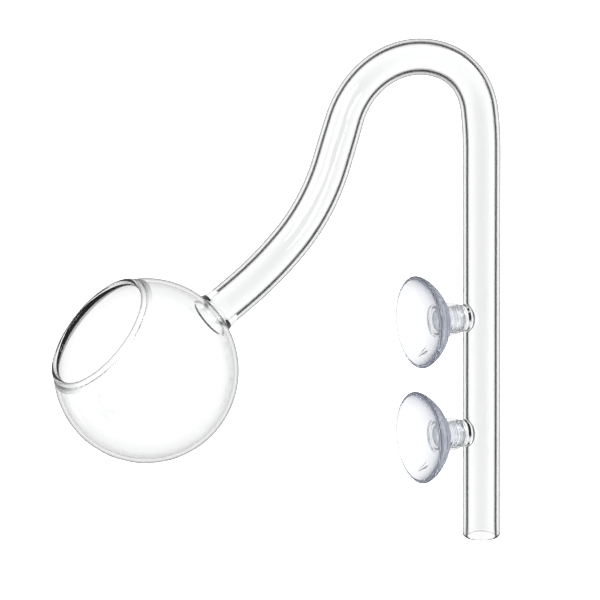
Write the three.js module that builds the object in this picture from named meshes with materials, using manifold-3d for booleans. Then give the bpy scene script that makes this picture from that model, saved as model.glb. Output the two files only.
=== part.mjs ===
// Glass outflow pipe for a planted aquarium, hung over the tank's rim and held by two suction cups.
// Millimetres, +Z up. The origin is on the outer face of the tank wall, midway between the cups,
// in the plane that the pipe is bent in. -X points into the tank.
import * as THREE from 'three';
import * as BufferGeometryUtils from 'three/addons/utils/BufferGeometryUtils.js';
import Module from 'manifold-3d';

const wasm = await Module();
wasm.setup();

// the tube: 13 mm glass, which a 12/16 mm hose slides over
const tubeRadius = 6.5;
const boreRadius = 4.65;
const tubeSides = 20;
const rimChamfer = 0.4;
const fusedGap = 0.3; // left between solids that are fused or moulded together
const cutterLength = 30; // of the cylinders that cut one solid clear of another

// the straight leg outside the tank
const legOffset = 25; // from the tank wall to the leg's axis
const legBottom = -56.9;
const legTop = 78.1;

// the bend over the rim, then the neck down into the tank: turns in degrees, left is positive
const rimTurns = [
  { radius: 96, turn: 8 },
  { radius: 21.5, turn: 55.5 },
  { radius: 29, turn: 97.4 },
];
const neckStraight = 15;
const neckTurns = [
  { radius: 67, turn: -25.7 },
  { radius: 125, turn: -11.6 },
];
const neckEndStraight = 6;
const rimSteps = 26;
const neckSteps = 14;

// the bowl, blown round and opened at the mouth
const bowlRadius = 30.6;
const bowlWall = 1.3;
const mouthRadius = 20.7; // to the middle of the bead
const beadRadius = 1.05;
const beadFaces = 5;
const beadFrom = 1.1; // the bead's section starts and ends on the wall's two faces, radians
const beadTo = -3.1;
const mouthTilt = 39.5; // of the mouth's axis above the horizontal, degrees
const bowlSides = 36;
const bowlSteps = 12;

// the collar that welds the neck to the bowl
const collarReach = 35; // from the bowl's centre to the collar's tube end
const collarRadius = 8;
const collarHoleRadius = 6.4;
const collarSteps = 4;

// the suction cups and the glass sockets that take their plugs
const cupHeights = { upper: 20, lower: -20 };
const cupDepth = 8.5;
const lipRadius = 15.8;
const lipLand = 0.8; // width of the flat lip that meets the wall
const lipEdge = 0.4;
const lipSlant = 0.3;
const hollowDepth = 6.3;
// the dome's and the hollow's two middle control points: radius, distance behind the lip
const domePull = [[15.1, 3.6], [8.3, 9.6]];
const hollowPull = [[7, 6.3], [12.4, 3.4]];
const backRadius = 5.75;
const cupSides = 28;
const cupSteps = 7;
const socketRadius = 5.75;
const socketBore = 4.6;
const socketFloor = 17.4;
const socketFloorRound = 1;
const socketNeck = { start: 13, middle: 15.6, end: 17, root: 18 }; // where it narrows to its root
const socketNeckRadius = 5.2;
const socketRootRadius = 4.4;
const plugCore = 3.7;
const plugRib = 4.3;
const ribPlaces = [10, 12, 14, 15.9];
const ribHalf = 0.6;
const plugTip = 16.9;
const plugTipRadius = 2.6;

const glass = { color: 0xf4f7f7, roughness: 0.03, metalness: 0 };
const clearVinyl = { color: 0xdfe5f0, roughness: 0.12, metalness: 0 };

// an arc in the XZ plane
class PlaneArc extends THREE.Curve {
  constructor(centreX, centreZ, radius, startAngle, sweep) {
    super();
    Object.assign(this, { centreX, centreZ, radius, startAngle, sweep });
  }

  getPoint(t, target = new THREE.Vector3()) {
    const angle = this.startAngle + this.sweep * t;
    const x = this.centreX + this.radius * Math.cos(angle);
    return target.set(x, 0, this.centreZ + this.radius * Math.sin(angle));
  }
}

// follows a straight run from a place with a heading, and returns the place it ends at
function runStraight(path, place, length) {
  const x = place.x + length * Math.cos(place.heading);
  const z = place.z + length * Math.sin(place.heading);
  path.add(new THREE.LineCurve3(new THREE.Vector3(place.x, 0, place.z), new THREE.Vector3(x, 0, z)));
  return { x, z, heading: place.heading };
}

// follows a turn of the given radius, left for positive degrees
function runTurn(path, place, radius, degrees) {
  const side = Math.sign(degrees);
  const sweep = THREE.MathUtils.degToRad(degrees);
  const centreX = place.x - side * radius * Math.sin(place.heading);
  const centreZ = place.z + side * radius * Math.cos(place.heading);
  path.add(new PlaneArc(centreX, centreZ, radius, place.heading - (side * Math.PI) / 2, sweep));
  const heading = place.heading + sweep;
  const x = centreX + side * radius * Math.sin(heading);
  return { x, z: centreZ - side * radius * Math.cos(heading), heading };
}

function runTurns(path, place, turns) {
  return turns.reduce((at, { radius, turn }) => runTurn(path, at, radius, turn), place);
}

function tubeAlong(path, steps) {
  const section = new THREE.Shape().absarc(0, 0, tubeRadius, 0, 2 * Math.PI);
  section.holes.push(new THREE.Path().absarc(0, 0, boreRadius, 0, 2 * Math.PI));
  // a full circle gets two sides for each of its curveSegments
  return new THREE.ExtrudeGeometry(section, {
    steps,
    curveSegments: tubeSides / 2,
    extrudePath: path,
    bevelEnabled: false,
  });
}

// turns a profile of [radius, height] pairs round +Z
function lathe(profile, sides) {
  const points = profile.map(([radius, height]) => new THREE.Vector2(radius, height));
  return new THREE.LatheGeometry(points, sides).rotateX(Math.PI / 2);
}

// turns a profile of [radius, distance behind the lip] pairs round +X
function latheBehindWall(profile, sides) {
  return lathe(profile, sides).rotateY(Math.PI / 2);
}

function arcProfile(radius, fromAngle, toAngle, steps, centre = [0, 0]) {
  return Array.from({ length: steps + 1 }, (_, i) => {
    const angle = fromAngle + ((toAngle - fromAngle) * i) / steps;
    return [centre[0] + radius * Math.sin(angle), centre[1] + radius * Math.cos(angle)];
  });
}

function toManifold(geometry) {
  const bare = geometry.clone();
  bare.deleteAttribute('normal');
  bare.deleteAttribute('uv');
  const merged = BufferGeometryUtils.mergeVertices(bare, 1e-4);
  return new wasm.Manifold(
    new wasm.Mesh({
      numProp: 3,
      vertProperties: new Float32Array(merged.attributes.position.array),
      triVerts: new Uint32Array(merged.index.array),
    }),
  );
}

function fromManifold(solid) {
  const mesh = solid.getMesh();
  const geometry = new THREE.BufferGeometry();
  geometry.setAttribute('position', new THREE.BufferAttribute(mesh.vertProperties, 3));
  geometry.setIndex(new THREE.BufferAttribute(mesh.triVerts, 1));
  geometry.computeVertexNormals();
  return geometry;
}

function cut(geometry, tool) {
  return fromManifold(toManifold(geometry).subtract(toManifold(tool)));
}

function hoseLeg() {
  const top = legTop - legBottom - fusedGap;
  return lathe(
    [
      [boreRadius, rimChamfer],
      [boreRadius + rimChamfer, 0],
      [tubeRadius - rimChamfer, 0],
      [tubeRadius, rimChamfer],
      [tubeRadius, top],
      [boreRadius, top],
      [boreRadius, rimChamfer],
    ],
    tubeSides,
  );
}

// a round shell whose profile starts and ends on the axis at the back, with a bead at the mouth
function bowlShell() {
  const beadHeight = Math.sqrt((bowlRadius - bowlWall / 2) ** 2 - mouthRadius ** 2);
  const beadAngle = Math.atan2(mouthRadius, beadHeight);
  const clearAngle = beadRadius / bowlRadius;
  const innerRadius = bowlRadius - bowlWall;
  const outer = arcProfile(bowlRadius, Math.PI, beadAngle + clearAngle, bowlSteps);
  const beadCentre = [mouthRadius, beadHeight];
  const bead = arcProfile(beadRadius, beadAngle + beadFrom, beadAngle + beadTo, beadFaces, beadCentre);
  const inner = arcProfile(innerRadius, beadAngle + clearAngle, Math.PI, bowlSteps);
  return [...outer, ...bead, ...inner];
}

function collarProfile() {
  const wallInside = Math.sqrt((bowlRadius - bowlWall) ** 2 - collarRadius ** 2);
  const wallOutside = Math.sqrt(bowlRadius ** 2 - collarRadius ** 2);
  const flare = Array.from({ length: collarSteps + 1 }, (_, i) => {
    const t = i / collarSteps;
    const radius = tubeRadius + (collarRadius - tubeRadius) * (1 - t) ** 2;
    return [radius, wallOutside + (collarReach - wallOutside) * t];
  });
  return [
    [collarHoleRadius, wallInside],
    [collarRadius, wallInside],
    ...flare,
    [boreRadius, collarReach],
    [boreRadius, wallOutside + 1],
    [collarHoleRadius, wallInside],
  ];
}

// the socket: a short closed tube, mouth towards the wall, its round end melted onto the leg
function cupSocket() {
  const mouth = cupDepth + fusedGap;
  const rootEnd = legOffset - tubeRadius / 2;
  const profile = [
    [0, socketFloor],
    [socketBore - socketFloorRound, socketFloor],
    [socketBore, socketFloor - socketFloorRound],
    [socketBore, mouth],
    [socketRadius, mouth],
    [socketRadius, socketNeck.start],
    [socketNeckRadius, socketNeck.middle],
    [(socketNeckRadius + socketRootRadius) / 2, socketNeck.end],
    [socketRootRadius, socketNeck.root],
    [socketRootRadius, rootEnd],
    [0, rootEnd],
  ];
  const legClear = tubeRadius + fusedGap;
  const leg = new THREE.CylinderGeometry(legClear, legClear, cutterLength, tubeSides);
  leg.rotateX(Math.PI / 2).translate(legOffset, 0, 0);
  return cut(latheBehindWall(profile, tubeSides), leg);
}

function cupPlug() {
  const ribs = ribPlaces.flatMap((place) => [
    [plugCore, place - ribHalf],
    [plugRib, place - ribHalf / 2],
    [plugRib, place + ribHalf / 2],
    [plugCore, place + ribHalf],
  ]);
  const front = cupDepth + fusedGap;
  const profile = [[0, front], [plugCore, front], ...ribs, [plugTipRadius, plugTip], [0, plugTip]];
  return latheBehindWall(profile, tubeSides);
}

// the skirt: a flat lip, a domed back and a hollow that is pressed flat to grip the wall
function cupSkirt() {
  const dome = new THREE.CubicBezierCurve(
    new THREE.Vector2(lipRadius, lipEdge),
    new THREE.Vector2(...domePull[0]),
    new THREE.Vector2(...domePull[1]),
    new THREE.Vector2(backRadius, cupDepth),
  );
  const hollow = new THREE.CubicBezierCurve(
    new THREE.Vector2(0, hollowDepth),
    new THREE.Vector2(...hollowPull[0]),
    new THREE.Vector2(...hollowPull[1]),
    new THREE.Vector2(lipRadius - lipSlant - lipLand, 0),
  );
  const pair = (point) => [point.x, point.y];
  const profile = [
    ...hollow.getPoints(cupSteps).map(pair),
    [lipRadius - lipSlant, 0],
    ...dome.getPoints(cupSteps).map(pair),
    [0, cupDepth],
  ];
  return latheBehindWall(profile, cupSides);
}

function part(name, geometry, finish) {
  const mesh = new THREE.Mesh(geometry, new THREE.MeshStandardMaterial(finish));
  mesh.name = name;
  return mesh;
}

// the bowl sits on the line that the neck ends on
function placeOnNeck(object, place) {
  object.position.set(place.x, 0, place.z);
  return object;
}

function buildPipe() {
  const pipe = new THREE.Group();
  const leg = part('hose_leg', hoseLeg(), glass);
  leg.position.set(legOffset, 0, legBottom);
  pipe.add(leg);

  const rimPath = new THREE.CurvePath();
  const start = { x: legOffset, z: legTop, heading: Math.PI / 2 };
  const rimEnd = runTurns(rimPath, start, rimTurns);
  pipe.add(part('rim_bend', tubeAlong(rimPath, rimSteps), glass));

  const skipped = runStraight(new THREE.CurvePath(), rimEnd, fusedGap);
  const neckPath = new THREE.CurvePath();
  const neckStart = runStraight(neckPath, skipped, neckStraight - fusedGap);
  const neckTurned = runTurns(neckPath, neckStart, neckTurns);
  const neckEnd = runStraight(neckPath, neckTurned, neckEndStraight);
  pipe.add(part('swan_neck', tubeAlong(neckPath, neckSteps), glass));

  const centre = runStraight(new THREE.CurvePath(), neckEnd, collarReach + fusedGap);
  const weldTilt = Math.PI * 1.5 - neckEnd.heading;
  const collar = placeOnNeck(part('bowl_collar', lathe(collarProfile(), tubeSides), glass), centre);
  collar.rotation.y = weldTilt;
  pipe.add(collar);

  const mouthTurn = THREE.MathUtils.degToRad(mouthTilt) - Math.PI / 2;
  const holeClear = collarRadius + fusedGap;
  const weldHole = new THREE.CylinderGeometry(holeClear, holeClear, cutterLength, tubeSides);
  weldHole.translate(0, bowlRadius, 0).rotateX(Math.PI / 2).rotateY(weldTilt - mouthTurn);
  const bowl = placeOnNeck(part('outlet_bowl', cut(lathe(bowlShell(), bowlSides), weldHole), glass), centre);
  bowl.rotation.y = mouthTurn;
  pipe.add(bowl);
  return pipe;
}

function buildCup(side, height) {
  const cup = new THREE.Group();
  cup.add(part(`${side}_cup_socket`, cupSocket(), glass));
  cup.add(part(`${side}_cup_plug`, cupPlug(), clearVinyl));
  cup.add(part(`${side}_cup_skirt`, cupSkirt(), clearVinyl));
  cup.position.z = height;
  return cup;
}

const outflowPipe = new THREE.Group();
outflowPipe.add(buildPipe());
for (const [side, height] of Object.entries(cupHeights)) {
  outflowPipe.add(buildCup(side, height));
}

export default outflowPipe;
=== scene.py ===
import math
import bmesh
import bpy
import numpy as np
from mathutils import Matrix, Vector


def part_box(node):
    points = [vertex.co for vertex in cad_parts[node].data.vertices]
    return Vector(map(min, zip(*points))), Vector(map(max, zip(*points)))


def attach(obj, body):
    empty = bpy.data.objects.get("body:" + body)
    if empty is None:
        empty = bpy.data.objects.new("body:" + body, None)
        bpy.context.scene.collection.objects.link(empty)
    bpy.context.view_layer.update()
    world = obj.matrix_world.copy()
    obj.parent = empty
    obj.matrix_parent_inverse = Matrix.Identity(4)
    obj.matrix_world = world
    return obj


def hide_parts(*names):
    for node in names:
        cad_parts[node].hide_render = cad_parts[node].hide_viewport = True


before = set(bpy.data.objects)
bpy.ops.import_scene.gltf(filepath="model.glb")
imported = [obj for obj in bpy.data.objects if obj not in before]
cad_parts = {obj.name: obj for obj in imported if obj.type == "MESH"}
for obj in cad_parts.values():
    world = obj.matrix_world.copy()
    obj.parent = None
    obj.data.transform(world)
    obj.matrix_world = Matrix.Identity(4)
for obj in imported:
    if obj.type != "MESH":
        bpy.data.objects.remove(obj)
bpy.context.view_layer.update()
print("frame loaded with", len(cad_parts), "nodes")

mm = 0.001
scene = bpy.context.scene


def boxMm(node):
    low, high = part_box(node)
    return np.array(low) / mm, np.array(high) / mm


def smoothStep(t):
    t = np.clip(t, 0, 1)
    return t * t * (3 - 2 * t)


def bezier(points, steps, start=0):
    # points along a cubic from four control points, both ends included unless start is 1
    p = np.array(points, float)
    t = np.linspace(0, 1, steps + 1)[start:, None]
    return (1 - t) ** 3 * p[0] + 3 * t * (1 - t) ** 2 * p[1] + 3 * t ** 2 * (1 - t) * p[2] + t ** 3 * p[3]


def makePiece(name, verts, faces, material):
    # verts in millimetres; loose ones are dropped and the faces turned outwards
    mesh = bpy.data.meshes.new(name)
    mesh.from_pydata((np.array(verts) * mm).tolist(), [], faces)
    solid = bmesh.new()
    solid.from_mesh(mesh)
    bmesh.ops.delete(solid, geom=[v for v in solid.verts if not v.link_faces], context="VERTS")
    bmesh.ops.recalc_face_normals(solid, faces=solid.faces)
    if solid.calc_volume(signed=True) < 0:
        bmesh.ops.reverse_faces(solid, faces=solid.faces)
    openEdges = sum(not e.is_manifold for e in solid.edges)
    solid.to_mesh(mesh)
    solid.free()
    mesh.polygons.foreach_set("use_smooth", [True] * len(mesh.polygons))
    mesh.materials.append(material)
    piece = bpy.data.objects.new(name, mesh)
    scene.collection.objects.link(piece)
    print(name, "made with", len(mesh.polygons), "faces,", openEdges, "open edges")
    return piece


def gridFaces(rows, columns, closedRows=False, skip=()):
    # quads between rings of vertices; skip holds the (row, column) cells left out
    faces = []
    for i in range(rows if closedRows else rows - 1):
        k = (i + 1) % rows
        for j in range(columns):
            if (i, j) not in skip:
                n = (j + 1) % columns
                faces.append((i * columns + j, i * columns + n, k * columns + n, k * columns + j))
    return faces


def newMaterial(name):
    material = bpy.data.materials.new(name)
    material.use_nodes = True
    nodes = material.node_tree.nodes
    return material, nodes, material.node_tree.links, nodes["Principled BSDF"]


glassLook = {
    "ior": 1.47,
    # painted shade: share of clear glass each wall keeps as it turns away from the eye, the rest a painted
    # dark edge line: amount turned away, share of clear glass
    # the tube's first stops paint a faint grey band down its middle, a painted reflection
    "tube": [(0.0, 0.91), (0.05, 0.96), (0.10, 1.0), (0.50, 1.0), (0.60, 0.82), (0.70, 0.52), (0.82, 0.32),
             (1.0, 0.18)],
    "bore": [(0.50, 1.0), (0.62, 0.82), (0.76, 0.46), (1.0, 0.25)],
    "bowl": [(0.40, 1.0), (0.60, 0.95), (0.76, 0.84), (0.85, 0.48), (0.92, 0.24), (1.0, 0.10)],
    "bowlInside": [(0.40, 1.0), (0.62, 0.94), (0.80, 0.80), (0.92, 0.55), (1.0, 0.38)],
    "rim": [(0.30, 1.0), (0.50, 0.74), (0.75, 0.36), (1.0, 0.10)],
    # painted shade, the same for light that the bore's wall turns back: it paints the tube's dark inner
    # lines
    "turnedBack": [(0.26, 0.07), (0.32, 0.07), (0.36, 0.42), (0.415, 0.96), (1.0, 0.96)],
    "body": (0.99, 0.993, 0.993, 1),
    # the near-black painted shade mixed into the glass along its edges
    "paintedEdgeShade": (0.02, 0.02, 0.022, 1),
    "edgeRoughness": 0.4,
    "edgeGloss": 0.1,
    "allTurnedBack": 0.985,             # from this share on, the wall counts as a full mirror
    "drawLines": 0.05,                  # strength of the waves left by drawing and blowing
    "waveHeight": 0.2,                  # in millimetres
    "waveScale": 55,
}


def shadeRamp(nodes, links, amount, stops):
    node = nodes.new("ShaderNodeValToRGB")
    ramp = node.color_ramp.elements
    for place, grey in stops[1:-1]:
        ramp.new(place)
    for stop, (place, grey) in zip(ramp, stops):
        stop.position = place
        stop.color = (grey, grey, grey, 1)
    links.new(amount, node.inputs["Fac"])
    return node.outputs["Color"]


def makeGlass(part):
    material, nodes, links, skin = newMaterial(part + "Glass")
    skin.inputs["Transmission Weight"].default_value = 1
    skin.inputs["Roughness"].default_value = 0
    skin.inputs["IOR"].default_value = glassLook["ior"]
    skin.inputs["Base Color"].default_value = glassLook["body"]
    # painted shade: a near-black surface mixed over the glass where it turns away from the eye
    edge = nodes.new("ShaderNodeBsdfPrincipled")
    edge.inputs["Base Color"].default_value = glassLook["paintedEdgeShade"]
    edge.inputs["Roughness"].default_value = glassLook["edgeRoughness"]
    edge.inputs["Specular IOR Level"].default_value = glassLook["edgeGloss"]
    facing = nodes.new("ShaderNodeLayerWeight")
    facing.inputs["Blend"].default_value = 0.5
    mirror = nodes.new("ShaderNodeFresnel")
    mirror.inputs["IOR"].default_value = glassLook["ior"]
    whole = nodes.new("ShaderNodeMath")
    whole.operation = "GREATER_THAN"
    whole.inputs[1].default_value = glassLook["allTurnedBack"]
    links.new(mirror.outputs["Fac"], whole.inputs[0])
    # two cases: some light passes the wall, or the wall turns all of it back; each picks how much painted
    # dark edge shade is mixed over the glass
    clear = nodes.new("ShaderNodeMix")
    clear.data_type = "RGBA"
    clear.inputs["B"].default_value = (1, 1, 1, 1)
    links.new(whole.outputs["Value"], clear.inputs["Factor"])
    away = facing.outputs["Facing"]
    links.new(shadeRamp(nodes, links, away, glassLook[part]), clear.inputs["A"])
    if part == "bore":
        links.new(shadeRamp(nodes, links, away, glassLook["turnedBack"]), clear.inputs["B"])
    mixed = nodes.new("ShaderNodeMixShader")
    links.new(clear.outputs["Result"], mixed.inputs["Fac"])
    links.new(edge.outputs["BSDF"], mixed.inputs[1])
    links.new(skin.outputs["BSDF"], mixed.inputs[2])
    links.new(mixed.outputs["Shader"], nodes["Material Output"].inputs["Surface"])
    place = nodes.new("ShaderNodeTexCoord")
    waves = nodes.new("ShaderNodeTexNoise")
    waves.inputs["Scale"].default_value = glassLook["waveScale"]
    waves.inputs["Detail"].default_value = 1
    links.new(place.outputs["Object"], waves.inputs["Vector"])
    bump = nodes.new("ShaderNodeBump")
    bump.inputs["Strength"].default_value = glassLook["drawLines"]
    bump.inputs["Distance"].default_value = glassLook["waveHeight"] * mm
    links.new(waves.outputs["Fac"], bump.inputs["Height"])
    links.new(bump.outputs["Normal"], skin.inputs["Normal"])
    return material


vinylLook = {
    "ior": 1.53,
    "roughness": 0.07,
    "body": (0.985, 0.99, 1.0, 1),
    # painted shade: the dark blue-grey mixed over the vinyl at its edges
    "edge": (0.10, 0.12, 0.17, 1),
    # painted shade: share of clear vinyl as the wall turns away from the eye, the rest painted with the dark
    # edge colour
    "paintedEdgeShades": [(0.34, 1.0), (0.50, 0.86), (0.68, 0.60), (0.84, 0.36), (1.0, 0.18)],
    "through": 0.97,                    # how much light passes, the rest is a bluish haze
    "depthTint": (0.55, 0.61, 0.76, 1),
    "density": 20,
    "edgeRoughness": 0.35,
    "roughnessSpread": 0.3,             # how far the haze moves the roughness either way
    "grain": 900,
    "grainBump": 0.12,
    "grainHeight": 0.05,                # in millimetres
}


def makeVinyl():
    material, nodes, links, skin = newMaterial("clearVinyl")
    skin.inputs["Transmission Weight"].default_value = vinylLook["through"]
    skin.inputs["IOR"].default_value = vinylLook["ior"]
    skin.inputs["Base Color"].default_value = vinylLook["body"]
    facing = nodes.new("ShaderNodeLayerWeight")
    facing.inputs["Blend"].default_value = 0.5
    # painted shade: the dark blue-grey surface mixed over the vinyl where it turns away from the eye
    edge = nodes.new("ShaderNodeBsdfPrincipled")
    edge.inputs["Base Color"].default_value = vinylLook["edge"]
    edge.inputs["Roughness"].default_value = vinylLook["edgeRoughness"]
    mixed = nodes.new("ShaderNodeMixShader")
    clear = shadeRamp(nodes, links, facing.outputs["Facing"], vinylLook["paintedEdgeShades"])
    links.new(clear, mixed.inputs["Fac"])
    links.new(edge.outputs["BSDF"], mixed.inputs[1])
    links.new(skin.outputs["BSDF"], mixed.inputs[2])
    links.new(mixed.outputs["Shader"], nodes["Material Output"].inputs["Surface"])
    place = nodes.new("ShaderNodeTexCoord")
    haze = nodes.new("ShaderNodeTexNoise")
    haze.inputs["Scale"].default_value = vinylLook["grain"]
    haze.inputs["Detail"].default_value = 3
    links.new(place.outputs["Object"], haze.inputs["Vector"])
    spread = nodes.new("ShaderNodeMapRange")
    spread.inputs["To Min"].default_value = vinylLook["roughness"] * (1 - vinylLook["roughnessSpread"])
    spread.inputs["To Max"].default_value = vinylLook["roughness"] * (1 + vinylLook["roughnessSpread"])
    links.new(haze.outputs["Fac"], spread.inputs["Value"])
    links.new(spread.outputs["Result"], skin.inputs["Roughness"])
    bump = nodes.new("ShaderNodeBump")
    bump.inputs["Strength"].default_value = vinylLook["grainBump"]
    bump.inputs["Distance"].default_value = vinylLook["grainHeight"] * mm
    links.new(haze.outputs["Fac"], bump.inputs["Height"])
    links.new(bump.outputs["Normal"], skin.inputs["Normal"])
    depth = nodes.new("ShaderNodeVolumeAbsorption")
    depth.inputs["Color"].default_value = vinylLook["depthTint"]
    depth.inputs["Density"].default_value = vinylLook["density"]
    links.new(depth.outputs["Volume"], nodes["Material Output"].inputs["Volume"])
    return material


# one glass in five copies, each with its own painted edge shade
glasses = [makeGlass(part) for part in ("tube", "bowl", "bore", "rim", "bowlInside")]
vinyl = makeVinyl()
print("materials ready")


# the glass pipe is one skin, from the hose end round the bowl and back down the bore
legLow, legHigh = boxMm("hose_leg")
bendLow = boxMm("rim_bend")[0]
cupHeights = {side: sum(boxMm(side + "_cup_skirt"))[2] / 2 for side in ("upper", "lower")}

pipe = {
    "columns": 96,
    "radius": (legHigh[1] - legLow[1]) / 2,
    "bore": 4.62,
    "legX": (legLow[0] + legHigh[0]) / 2,
    "bottom": legLow[2],
    "top": bendLow[2],
    "rimTurns": [(96, 8, 4), (21.5, 55.5, 37), (29, 97.4, 60)],   # radius, degrees, rings
    "neckStraight": (15, 5),                                       # length, rings
    "neckTurns": [(67, -25.7, 14), (125, -11.6, 8)],
    "neckEnd": (6, 2),
    "bendPinch": 0.045,      # the tube draws in where it bends tightest
    "neckSwell": 0.02,
    "pinchStart": 8,         # millimetres above the leg's end
    "pinchEnd": 14,          # millimetres before the bend's end
    "pinchRun": 22,
    "waver": 0.0035,         # slight change of width along a hand-drawn tube
    "waverLength": 17.0,
    "waverFrom": 60,         # it comes in over this length from the hose end
    "hoseRim": 0.9,          # rounding of the fire-polished hose end
    "endLean": (0.05, 0.095),  # the hose end is cut a little out of square, rise per mm along x and y
    "leanRun": 9,            # how far up the leg that dies away
}
bowl = {
    "radius": 30.6,
    "wall": 1.3,
    "reach": 35.3,           # from the bowl's centre to the end of the neck
    "mouthTilt": 39.5,
    "mouthRadius": 20.7,
    "bead": 1.18,
    "beadRun": 3.2,          # how far the bead takes to thin into the wall
    "beadSteps": [2.4, 1.8, 1.35, 1.0, 0.7, 0.45, 0.2],
    "beadSoft": 0.82,
    "rings": 60,
    "collarRadius": 7.7,
    # the weld's curves are guided by points: distance from the neck's axis, distance from the bowl's centre
    "collarNeck": 32.6,
    "collarFoot": (7.1, 30.9),
    "holeFlare": (6.5, 29.7),
    "boreGuides": (31.0, 34.3),
    "holeRadius": 7.4,
    "holeEdge": [(7.2, 28.40), (7.0, 28.50), (6.85, 28.68)],
}
socket = {
    "half": 8,               # half the height of the leg patch that the socket grows from
    "cells": 20,             # quads across half of it
    "foot": 5.1,
    "waist": 4.5,
    "body": 5.75,
    "bore": 4.6,
    "mouth": 8.85,
    "floor": 17.7,
    "patchRings": (0.3, 0.55, 0.75, 0.9, 1.0),   # rings that lie on the leg, out to the foot
    "filletIn": 0.8,         # how far the foot draws in as it leaves the leg
    "filletDepth": (17.9, 17.0),
    "shoulder": [(16.4, 4.72), (15.8, 5.0), (15.1, 5.28), (14.3, 5.52), (13.4, 5.68)],   # place, radius
    "roundFrom": 14.6,       # where the bore starts to close towards its round floor
}


def pipeStations():
    # centre line from the hose end to the neck's end: x, z, heading, size
    inner = socket["half"]
    low, high = cupHeights["lower"], cupHeights["upper"]
    levels = [(pipe["bottom"] + pipe["hoseRim"], low - inner, 9),
              (low - inner, low + inner, socket["cells"]),
              (low + inner, high - inner, 8),
              (high - inner, high + inner, socket["cells"]),
              (high + inner, pipe["top"], 16)]
    out = []
    for start, end, steps in levels:
        out += [(pipe["legX"], z, math.pi / 2, 1) for z in np.linspace(start, end, steps + 1)[:-1]]
    x, z, heading = pipe["legX"], pipe["top"], math.pi / 2
    out.append((x, z, heading, 1))

    def straight(run):
        nonlocal x, z
        length, rings = run
        for _ in range(rings):
            x += length / rings * math.cos(heading)
            z += length / rings * math.sin(heading)
            out.append((x, z, heading, 1))

    def turn(radius, degrees, rings):
        nonlocal x, z, heading
        side = math.copysign(1, degrees)
        cx, cz = x - side * radius * math.sin(heading), z + side * radius * math.cos(heading)
        for _ in range(rings):
            heading += math.radians(degrees) / rings
            x = cx + side * radius * math.sin(heading)
            z = cz - side * radius * math.cos(heading)
            out.append((x, z, heading, 1))

    for run in pipe["rimTurns"]:
        turn(*run)
    bendEnd = len(out) - 1
    straight(pipe["neckStraight"])
    for run in pipe["neckTurns"]:
        turn(*run)
    straight(pipe["neckEnd"])
    out = np.array(out)
    # the tube narrows through the bend and swells a little down the neck
    step = np.hypot(*np.diff(out[:, :2], axis=0).T)
    along = np.concatenate([[0], np.cumsum(step)])
    legEnd = int(np.argmin(np.abs(out[:, 1] - pipe["top"])[: bendEnd // 2 + 40]))
    into = smoothStep((along - along[legEnd] - pipe["pinchStart"]) / pipe["pinchRun"])
    away = smoothStep((along - along[bendEnd] + pipe["pinchEnd"]) / pipe["pinchRun"])
    out[:, 3] += -pipe["bendPinch"] * into * (1 - away) + pipe["neckSwell"] * away
    out[:, 3] += pipe["waver"] * np.sin(along / pipe["waverLength"]) * smoothStep(along / pipe["waverFrom"])
    return out, along, legEnd


def tubeRing(station, radius, angles):
    x, z, heading, size = station
    r = radius * size
    side = r * np.cos(angles)
    return np.stack([x - side * math.sin(heading), r * np.sin(angles), z + side * math.cos(heading)], 1)


stations, along, legEnd = pipeStations()
neckTip = stations[-1]
weldAxis = -np.array([math.cos(neckTip[2]), 0, math.sin(neckTip[2])])
weldSide = np.array([-math.sin(neckTip[2]), 0, math.cos(neckTip[2])])
bowlCentre = np.array([neckTip[0], 0, neckTip[1]]) - weldAxis * bowl["reach"]
tilt = math.radians(bowl["mouthTilt"])
mouthAxis = np.array([-math.cos(tilt), 0, math.sin(tilt)])
mouthSide = np.array([math.sin(tilt), 0, math.cos(tilt)])
across = np.array([0, 1.0, 0])


def bowlRings(weldAngle, mouthAngle, steps):
    # rings on a unit sphere that pass smoothly from the weld's circle to the mouth's
    flat = lambda v: np.array([v[0], v[2]])
    point = np.linalg.solve([flat(weldAxis), flat(mouthAxis)], [math.cos(weldAngle), math.cos(mouthAngle)])
    base, off = math.atan2(point[1], point[0]), math.acos(1 / np.hypot(*point))
    limits = [np.array([math.cos(base + s * off), 0, math.sin(base + s * off)]) for s in (1, -1)]
    pole, heart = sorted(limits, key=lambda v: -v @ mouthAxis)

    def plane(side):
        return lambda v: np.array([v @ side, v[1]]) / (1 - v @ pole)

    def turned(axis, angle):
        c, s = math.cos(angle), math.sin(angle)
        return np.array([c * axis[0] - s * axis[2], 0, s * axis[0] + c * axis[2]])

    side = np.array([-pole[2], 0, pole[0]])
    toPlane = plane(side)
    radii = []
    for axis, angle in ((weldAxis, weldAngle), (mouthAxis, mouthAngle)):
        ends = [toPlane(turned(axis, s * angle))[0] for s in (1, -1)]
        radii.append(abs(ends[0] - ends[1]) / 2)
    middle = toPlane(heart)[0]
    first = middle + radii[0]
    probe = (2 * first * side + (first ** 2 - 1) * pole) / (first ** 2 + 1)
    sign = 1 if probe @ weldSide > 0 else -1
    turn = np.arange(pipe["columns"]) * 2 * math.pi / pipe["columns"]
    rings = []
    for t in np.linspace(0, 1, steps + 1):
        r = radii[0] * (radii[1] / radii[0]) ** t
        u, v = middle + sign * r * np.cos(turn), r * np.sin(turn)
        size = (u ** 2 + v ** 2)[:, None]
        rings.append((2 * (u[:, None] * side + v[:, None] * across) + (size - 1) * pole) / (size + 1))
    return rings


def anglesRound(ring, side):
    angles = np.arctan2(ring @ across, ring @ side)
    return np.where(angles < -1e-9, angles + 2 * math.pi, angles)


def roundAxis(axis, side, angles, radius, height):
    turn = np.cos(angles)[:, None] * side + np.sin(angles)[:, None] * across
    return bowlCentre + height * axis + radius * turn


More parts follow.
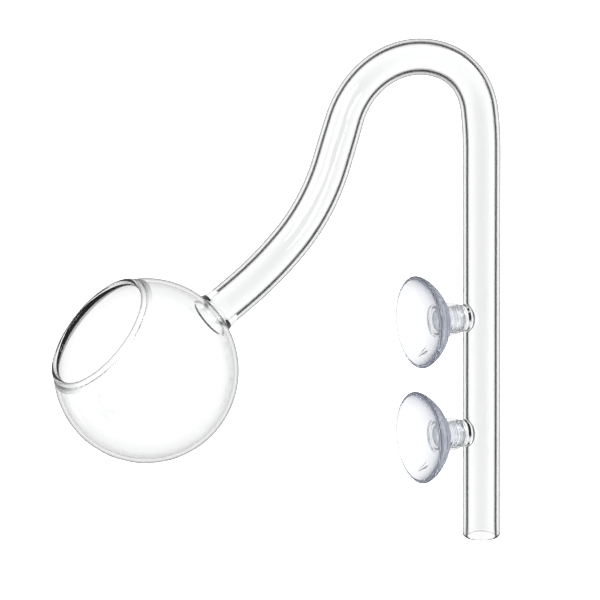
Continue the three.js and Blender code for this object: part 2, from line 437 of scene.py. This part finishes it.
def pipeRows():
    columns = pipe["columns"]
    even = np.arange(columns) * 2 * math.pi / columns
    outerR, innerR = bowl["radius"], bowl["radius"] - bowl["wall"]
    middleR = (outerR + innerR) / 2
    beadAngle = math.asin(bowl["mouthRadius"] / middleR)
    lipAngle = beadAngle + bowl["beadRun"] / middleR
    outerBall = bowlRings(math.asin(bowl["collarRadius"] / outerR), lipAngle, bowl["rings"])
    innerBall = bowlRings(math.asin(bowl["holeRadius"] / innerR), lipAngle, bowl["rings"])
    weldOut, weldIn = anglesRound(outerBall[0], weldSide), anglesRound(innerBall[0], weldSide)
    mouthOut, mouthIn = anglesRound(outerBall[-1], mouthSide), anglesRound(innerBall[-1], mouthSide)
    share = smoothStep((along - along[legEnd]) / (along[-1] - along[legEnd]))

    rows = []
    bottom, rim = pipe["bottom"], pipe["hoseRim"]
    corner = np.linspace(-math.pi / 2, 0, 9)

    def lowEnd(radius, z):
        return tubeRing((pipe["legX"], z, math.pi / 2, 1), radius, even)

    for a in corner[:-1]:
        rows.append(lowEnd(pipe["radius"] - rim + rim * math.cos(a), bottom + rim + rim * math.sin(a)))
    legRow = len(rows)
    rows += [tubeRing(s, pipe["radius"], even + (weldOut - even) * k) for s, k in zip(stations, share)]

    distance = bowl["reach"]
    size = neckTip[3] * pipe["radius"]
    foot = (bowl["collarRadius"], math.sqrt(outerR ** 2 - bowl["collarRadius"] ** 2))
    collar = bezier([(size, distance), (size, bowl["collarNeck"]), bowl["collarFoot"], foot], 9, 1)[:-1]
    bowlRow = len(rows)
    rows += [roundAxis(weldAxis, weldSide, weldOut, r, h) for r, h in collar]
    rows += [bowlCentre + outerR * ring for ring in outerBall]

    # the bead: the wall thickens towards the mouth and turns over a round edge
    run = np.array(bowl["beadSteps"])
    swell = bowl["wall"] / 2 + (bowl["bead"] - bowl["wall"] / 2) * np.exp(-(run / bowl["beadSoft"]) ** 2)
    edge = np.linspace(math.pi / 2, 1.5 * math.pi, 15)
    profile = [*zip(run, swell), *zip(bowl["bead"] * np.cos(edge), bowl["bead"] * np.sin(edge)),
               *zip(run[::-1], -swell[::-1])]
    beadRow = len(rows)
    for k, (back, out) in enumerate(profile):
        angles = mouthOut + (mouthIn - mouthOut) * k / (len(profile) - 1)
        lean, r = beadAngle + back / middleR, middleR + out
        rows.append(roundAxis(mouthAxis, mouthSide, angles, r * math.sin(lean), r * math.cos(lean)))

    beadEnd = len(rows)
    rows += [bowlCentre + innerR * ring for ring in innerBall[::-1]]
    boreEnd = pipe["bore"] * neckTip[3]
    guides = [(boreEnd, place) for place in bowl["boreGuides"]]
    hole = bezier([bowl["holeEdge"][-1], bowl["holeFlare"], *guides], 9, 1)
    rows += [roundAxis(weldAxis, weldSide, weldIn, r, h) for r, h in (*bowl["holeEdge"], *hole)]
    boreRow = len(rows)
    for station, k in zip(stations[::-1], share[::-1]):
        rows.append(tubeRing(station, pipe["bore"], even + (weldIn - even) * k))
    for a in corner[::-1][1:]:
        rows.append(lowEnd(pipe["bore"] + rim - rim * math.cos(a), bottom + rim + rim * math.sin(a)))
    leanX, leanY = pipe["endLean"]
    for row in rows:
        isLeg = abs(row[0][0] - pipe["legX"]) < 7
        near = 1 - smoothStep((row[:, 2] - bottom) / pipe["leanRun"]) if isLeg else 0
        row[:, 2] += near * ((row[:, 0] - pipe["legX"]) * leanX + row[:, 1] * leanY)
    # which of the glasses each row takes: the tube's to begin with; they differ in their painted edge shade
    finishes = np.zeros(len(rows), int)
    finishes[bowlRow:boreRow] = 1
    finishes[boreRow:] = 2
    finishes[beadRow:beadEnd] = 3
    finishes[beadEnd:boreRow] = 4
    return rows, legRow, finishes


def socketProfile():
    # rings from the foot's end out to the mouth, over its lip and down the bore
    body, bore, mouth, start = socket["body"], socket["bore"], socket["mouth"], socket["roundFrom"]
    out = [*socket["shoulder"], (12.4, body), (10.8, body), (mouth + 0.5, body)]
    lip = (body - bore) / 2
    for a in np.linspace(0.2, math.pi - 0.2, 11):
        out.append((mouth + lip * (1 - math.sin(a)), bore + lip + lip * math.cos(a)))
    out += [(mouth + 1.2, bore), (11.5, bore), (14.2, bore)]
    depth = socket["floor"] - start
    for a in np.linspace(0.15, 1.45, 9):
        out.append((start + depth * math.sin(a), bore * math.cos(a) ** 0.8))
    return out


def addSockets(rows, legRow):
    # swaps a patch of the leg's outer skin for each socket, grown from it as one skin
    columns, cells, legRadius = pipe["columns"], socket["cells"], pipe["radius"]
    onLegRings, drawIn = len(socket["patchRings"]), socket["filletIn"]
    verts = np.concatenate(rows)
    skip, extra, faces, finish = set(), [], [], []
    count = len(verts)

    def onLeg(u, v):
        turn = u / legRadius
        return np.stack([pipe["legX"] - legRadius * np.cos(turn), legRadius * np.sin(turn), v], 1)

    for height in cupHeights.values():
        reach = socket["half"] + 0.01
        levels = [i for i in range(legRow, legRow + legEnd) if abs(rows[i][0][2] - height) < reach]
        first, last = levels[0], levels[-1]
        skip |= {(i, j % columns) for i in range(first, last) for j in range(-cells, cells)}
        loop = [(first, j) for j in range(-cells, cells)] + [(i, cells) for i in range(first, last)]
        loop += [(last, j) for j in range(cells, -cells, -1)]
        loop += [(i, -cells) for i in range(last, first, -1)]
        ids = [i * columns + j % columns for i, j in loop]
        start = np.array([(legRadius * j * 2 * math.pi / columns, rows[i][0][2] - height) for i, j in loop])
        phi = np.arctan2(start[:, 1], start[:, 0])

        def footAt(radius):
            y = radius * np.cos(phi)
            return np.stack([legRadius * np.arcsin(y / legRadius), radius * np.sin(phi)], 1)

        foot = footAt(socket["foot"])
        rings = [onLeg(*(start + (foot - start) * t).T) for t in socket["patchRings"]]
        near = [onLeg(*footAt(socket["foot"] - d).T)[:, 0] for d in (0, drawIn)]
        for t in np.linspace(0, 1, 9)[1:]:
            parts = ((1 - t) ** 3, 3 * t * (1 - t) ** 2, 3 * t ** 2 * (1 - t), t ** 3)
            radii = (socket["foot"], socket["foot"] - drawIn, socket["waist"] - 0.02, socket["waist"] + 0.04)
            x = sum(part * place for part, place in zip(parts, (*near, *socket["filletDepth"])))
            r = sum(part * radius for part, radius in zip(parts, radii))
            rings.append(np.stack([x, r * np.cos(phi), r * np.sin(phi)], 1))
        for x, r in socketProfile():
            rings.append(np.stack([np.full(len(phi), x), r * np.cos(phi), r * np.sin(phi)], 1))
        for ring in rings:
            ring[:, 2] += height
        previous = ids
        for place, ring in enumerate(rings):
            current = list(range(count, count + len(ring)))
            extra.append(ring)
            count += len(ring)
            n = len(previous)
            for k in range(n):
                m = (k + 1) % n
                faces.append((previous[k], previous[m], current[m], current[k]))
            finish += [0 if place < onLegRings else 1] * n
            previous = current
        extra.append(np.array([[socket["floor"], 0, height]]))
        faces += [(previous[k], previous[(k + 1) % len(previous)], count) for k in range(len(previous))]
        finish += [1] * len(previous)
        count += 1
    return np.concatenate([verts, *extra]), skip, faces, finish


def makePipe():
    rows, legRow, finishes = pipeRows()
    verts, skip, socketFaces, socketFinish = addSockets(rows, legRow)
    skinFaces = gridFaces(len(rows), pipe["columns"], closedRows=True, skip=skip)
    piece = makePiece("glassPipeSkin", verts, skinFaces + socketFaces, glasses[0])
    for glass in glasses[1:]:
        piece.data.materials.append(glass)
    finish = [int(finishes[face[0] // pipe["columns"]]) for face in skinFaces] + socketFinish
    piece.data.polygons.foreach_set("material_index", finish)
    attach(piece, "glass_pipe")
    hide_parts("hose_leg", "rim_bend", "swan_neck", "bowl_collar", "outlet_bowl",
                "upper_cup_socket", "lower_cup_socket")


makePipe()


# the suction cups
cup = {
    "depth": 8.5,
    "hollow": [(0, 6.3), (7, 6.3), (12.4, 3.4), (14.7, 0.12)],     # radius, distance behind the lip
    "lip": [(14.85, 0.0), (15.35, 0.0), (15.6, 0.05), (15.74, 0.2)],
    "dome": [(15.8, 0.45), (15.1, 3.6), (8.3, 9.6), (5.75, 8.5)],
    "back": [(5.3, 8.46), (0, 8.46)],
    "markHead": (1.5, -10.2),       # the drop-shaped gate mark, y and z from the cup's axis
    "markTail": (4.0, -12.6),
    "markWidth": 1.15,
    "markRise": 0.42,
    "plugCore": 3.7,
    "plugRib": 4.35,
    "ribs": [10.0, 11.8, 13.6, 15.4],
    "ribHalf": 0.6,
    "tip": 17.1,
    "plugGap": 0.12,                # between the skirt's back and the plug
}


def latheShape(profile, height, angles):
    # the profile's first and last points lie on the axis
    rings = [np.stack([np.full(len(angles), s), r * np.cos(angles), height + r * np.sin(angles)], 1)
             for r, s in profile[1:-1]]
    n = len(angles)
    verts = np.concatenate([*rings, [[profile[0][1], 0, height], [profile[-1][1], 0, height]]])
    faces = gridFaces(len(rings), n)
    last, a, b = (len(rings) - 1) * n, len(verts) - 2, len(verts) - 1
    faces += [(k, (k + 1) % n, a) for k in range(n)]
    faces += [(last + k, last + (k + 1) % n, b) for k in range(n)]
    return verts, faces


def markHeight(y, z):
    # how far the drop stands proud at a place on the hollow
    head, tail = np.array(cup["markHead"]), np.array(cup["markTail"])
    axis = tail - head
    length = np.hypot(*axis)
    axis /= length
    u = (y - head[0]) * axis[0] + (z - head[1]) * axis[1]
    v = (y - head[0]) * -axis[1] + (z - head[1]) * axis[0]
    width = cup["markWidth"] * np.clip(1 - u / (length * 1.05), 0, 1) ** 0.8
    width = np.where(u < 0, np.sqrt(np.clip(cup["markWidth"] ** 2 - u ** 2, 0, None)), width)
    inside = np.where(width > 0.02, 1 - np.abs(v) / np.maximum(width, 0.02), -1)
    # a raised outline with a sunk middle
    return cup["markRise"] * smoothStep(inside * 5) * (1 - 0.85 * smoothStep((inside - 0.32) * 4))


def makeSkirt(side, height):
    hollow = bezier(cup["hollow"], 60)
    dome = bezier(cup["dome"], 40)
    profile = [*map(tuple, hollow), *cup["lip"], *map(tuple, dome), *cup["back"]]
    markY, markZ = np.add(cup["markHead"], cup["markTail"])
    middle = math.atan2(markZ, markY)
    even = np.arange(16, 360 - 15, 4.0)
    angles = np.sort(np.radians(np.concatenate([np.arange(-14, 14.01, 0.8), even])) + middle)
    verts, faces = latheShape(profile, height, angles)
    hollowCount = (len(hollow) - 1) * len(angles)
    y, z = verts[:hollowCount, 1], verts[:hollowCount, 2] - height
    verts[:hollowCount, 0] -= markHeight(y, z)
    piece = makePiece(side + "CupSkirt", verts, faces, vinyl)
    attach(piece, side + "_skirt")
    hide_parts(side + "_cup_skirt")


def makePlug(side, height):
    front = cup["depth"] + cup["plugGap"]
    core, rib, half = cup["plugCore"], cup["plugRib"], cup["ribHalf"]
    profile = [(0, front), (3.2, front), (3.6, front + 0.12), (core, front + 0.4)]
    for place in cup["ribs"]:
        turn = np.linspace(-math.pi / 2, math.pi / 2, 9)
        profile += [(core + (rib - core) * math.cos(a) ** 0.6, place + half * math.sin(a)) for a in turn]
    tip = cup["tip"]
    profile += [(core - 0.3, tip - 0.35), (core - 0.7, tip - 0.08), (2.4, tip), (0, tip)]
    angles = np.arange(64) * 2 * math.pi / 64
    verts, faces = latheShape(profile, height, angles)
    piece = makePiece(side + "CupPlug", verts, faces, vinyl)
    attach(piece, side + "_plug")
    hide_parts(side + "_cup_plug")


for side, height in cupHeights.items():
    makeSkirt(side, height)
    makePlug(side, height)


shot = {
    "target": (-0.04513, 0, 0.0316),
    "distance": 1.506,
    "turn": 27.73,
    "rise": 9.80,
    "roll": -0.347,
    "lens": 270,
}


def makeCamera():
    a, e = math.radians(shot["turn"]), math.radians(shot["rise"])
    back = Vector((-math.sin(a) * math.cos(e), -math.cos(a) * math.cos(e), math.sin(e)))
    data = bpy.data.cameras.new("studioCamera")
    data.lens = shot["lens"]
    data.sensor_width = 36
    data.clip_end = 20
    camera = bpy.data.objects.new("studioCamera", data)
    turn = Matrix.Rotation(-a, 4, "Z") @ Matrix.Rotation(math.pi / 2 - e, 4, "X")
    turn = turn @ Matrix.Rotation(math.radians(shot["roll"]), 4, "Z")
    camera.matrix_world = Matrix.Translation(Vector(shot["target"]) + back * shot["distance"]) @ turn
    scene.collection.objects.link(camera)
    scene.camera = camera


makeCamera()
print("camera ready")


studio = {
    "backdrop": 1.04,
    "floorDrop": 0.035,      # the floor's distance below the hose end
    "floorGlow": 1.2,        # the floor is a lit table
    "floorHalf": 6,
    "floorShade": (0.9, 0.9, 0.9, 1),
    "floorRoughness": 0.6,
    "tentRadius": 3.0,
    # place, size and power of the two softboxes
    "softboxLeft": ((-1.1, -0.9, 0.9), (0.7, 0.9), 9),
    "softboxRight": ((1.2, -0.6, 0.7), (0.5, 0.8), 6),
    "gamma": 0.84,
    "bounces": 28,           # light has many glass walls to pass
    "glossyBounces": 16,
}

# a round light tent out of sight, fixed round the object and alike on every side: a white belt at the
# height of the object, with softer light from overhead and from below
tent = {
    "beltTop": 44,           # degrees above level where the belt gives way
    "beltBottom": -46,
    "soft": 22,              # over how many degrees
    "overhead": 0.95,
    "below": 0.92,
}


def tentLight(rise):
    # rise is the height above level in degrees
    over = smoothStep((rise - tent["beltTop"]) / tent["soft"] + 0.5)
    under = smoothStep((tent["beltBottom"] - rise) / tent["soft"] + 0.5)
    white = studio["backdrop"]
    return white + (tent["overhead"] - white) * over + (tent["below"] - white) * under


def makeTent():
    rises, turns = np.arange(-89, 89.1, 2.0), np.arange(0, 360, 3.0)
    rise, turn = np.meshgrid(rises, turns, indexing="ij")
    r, t = np.radians(rise), np.radians(turn)
    verts = studio["tentRadius"] * np.stack([np.cos(r) * np.cos(t), np.cos(r) * np.sin(t), np.sin(r)], -1)
    verts = verts.reshape(-1, 3) + np.array(shot["target"])
    mesh = bpy.data.meshes.new("lightTent")
    mesh.from_pydata(verts.tolist(), [], gridFaces(len(rises), len(turns)))
    glow = mesh.attributes.new("glow", "FLOAT", "POINT")
    glow.data.foreach_set("value", tentLight(rise).ravel().astype(np.float32))
    material = bpy.data.materials.new("lightTent")
    material.use_nodes = True
    nodes = material.node_tree.nodes
    nodes.clear()
    painted = nodes.new("ShaderNodeAttribute")
    painted.attribute_name = "glow"
    shine = nodes.new("ShaderNodeEmission")
    out = nodes.new("ShaderNodeOutputMaterial")
    material.node_tree.links.new(painted.outputs["Fac"], shine.inputs["Strength"])
    material.node_tree.links.new(shine.outputs["Emission"], out.inputs["Surface"])
    mesh.materials.append(material)
    piece = bpy.data.objects.new("lightTent", mesh)
    scene.collection.objects.link(piece)
    piece.visible_camera = False
    piece.visible_diffuse = False
    piece.visible_shadow = False
    piece.visible_volume_scatter = False


def makeFloor():
    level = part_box("hose_leg")[0].z - studio["floorDrop"]
    mesh = bpy.data.meshes.new("lightTable")
    half = studio["floorHalf"]
    corners = [(x, y, level) for x, y in ((-half, -half), (half, -half), (half, half), (-half, half))]
    mesh.from_pydata(corners, [], [(0, 1, 2, 3)])
    material, *_, skin = newMaterial("lightTable")
    skin.inputs["Base Color"].default_value = studio["floorShade"]
    skin.inputs["Roughness"].default_value = studio["floorRoughness"]
    skin.inputs["Emission Color"].default_value = (1, 1, 1, 1)
    skin.inputs["Emission Strength"].default_value = studio["floorGlow"]
    mesh.materials.append(material)
    floor = bpy.data.objects.new("lightTable", mesh)
    scene.collection.objects.link(floor)
    floor.visible_glossy = False
    floor.visible_transmission = False


def makeWorld():
    world = bpy.data.worlds.new("backdrop")
    world.use_nodes = True
    world.node_tree.nodes["Background"].inputs["Color"].default_value = (1, 1, 1, 1)
    world.node_tree.nodes["Background"].inputs["Strength"].default_value = studio["backdrop"]
    scene.world = world


def makeLight(name, place, size, power):
    data = bpy.data.lights.new(name, "AREA")
    data.shape = "RECTANGLE"
    data.size, data.size_y = size
    data.energy = power
    light = bpy.data.objects.new(name, data)
    light.location = place
    light.rotation_euler = (Vector(shot["target"]) - Vector(place)).to_track_quat("-Z", "Y").to_euler()
    scene.collection.objects.link(light)


makeTent()
makeFloor()
makeWorld()
for name in ("softboxLeft", "softboxRight"):
    makeLight(name, *studio[name])
scene.view_settings.view_transform = "Standard"
scene.view_settings.gamma = studio["gamma"]
scene.cycles.max_bounces = studio["bounces"]
scene.cycles.transmission_bounces = studio["bounces"]
scene.cycles.glossy_bounces = studio["glossyBounces"]
print("studio ready")
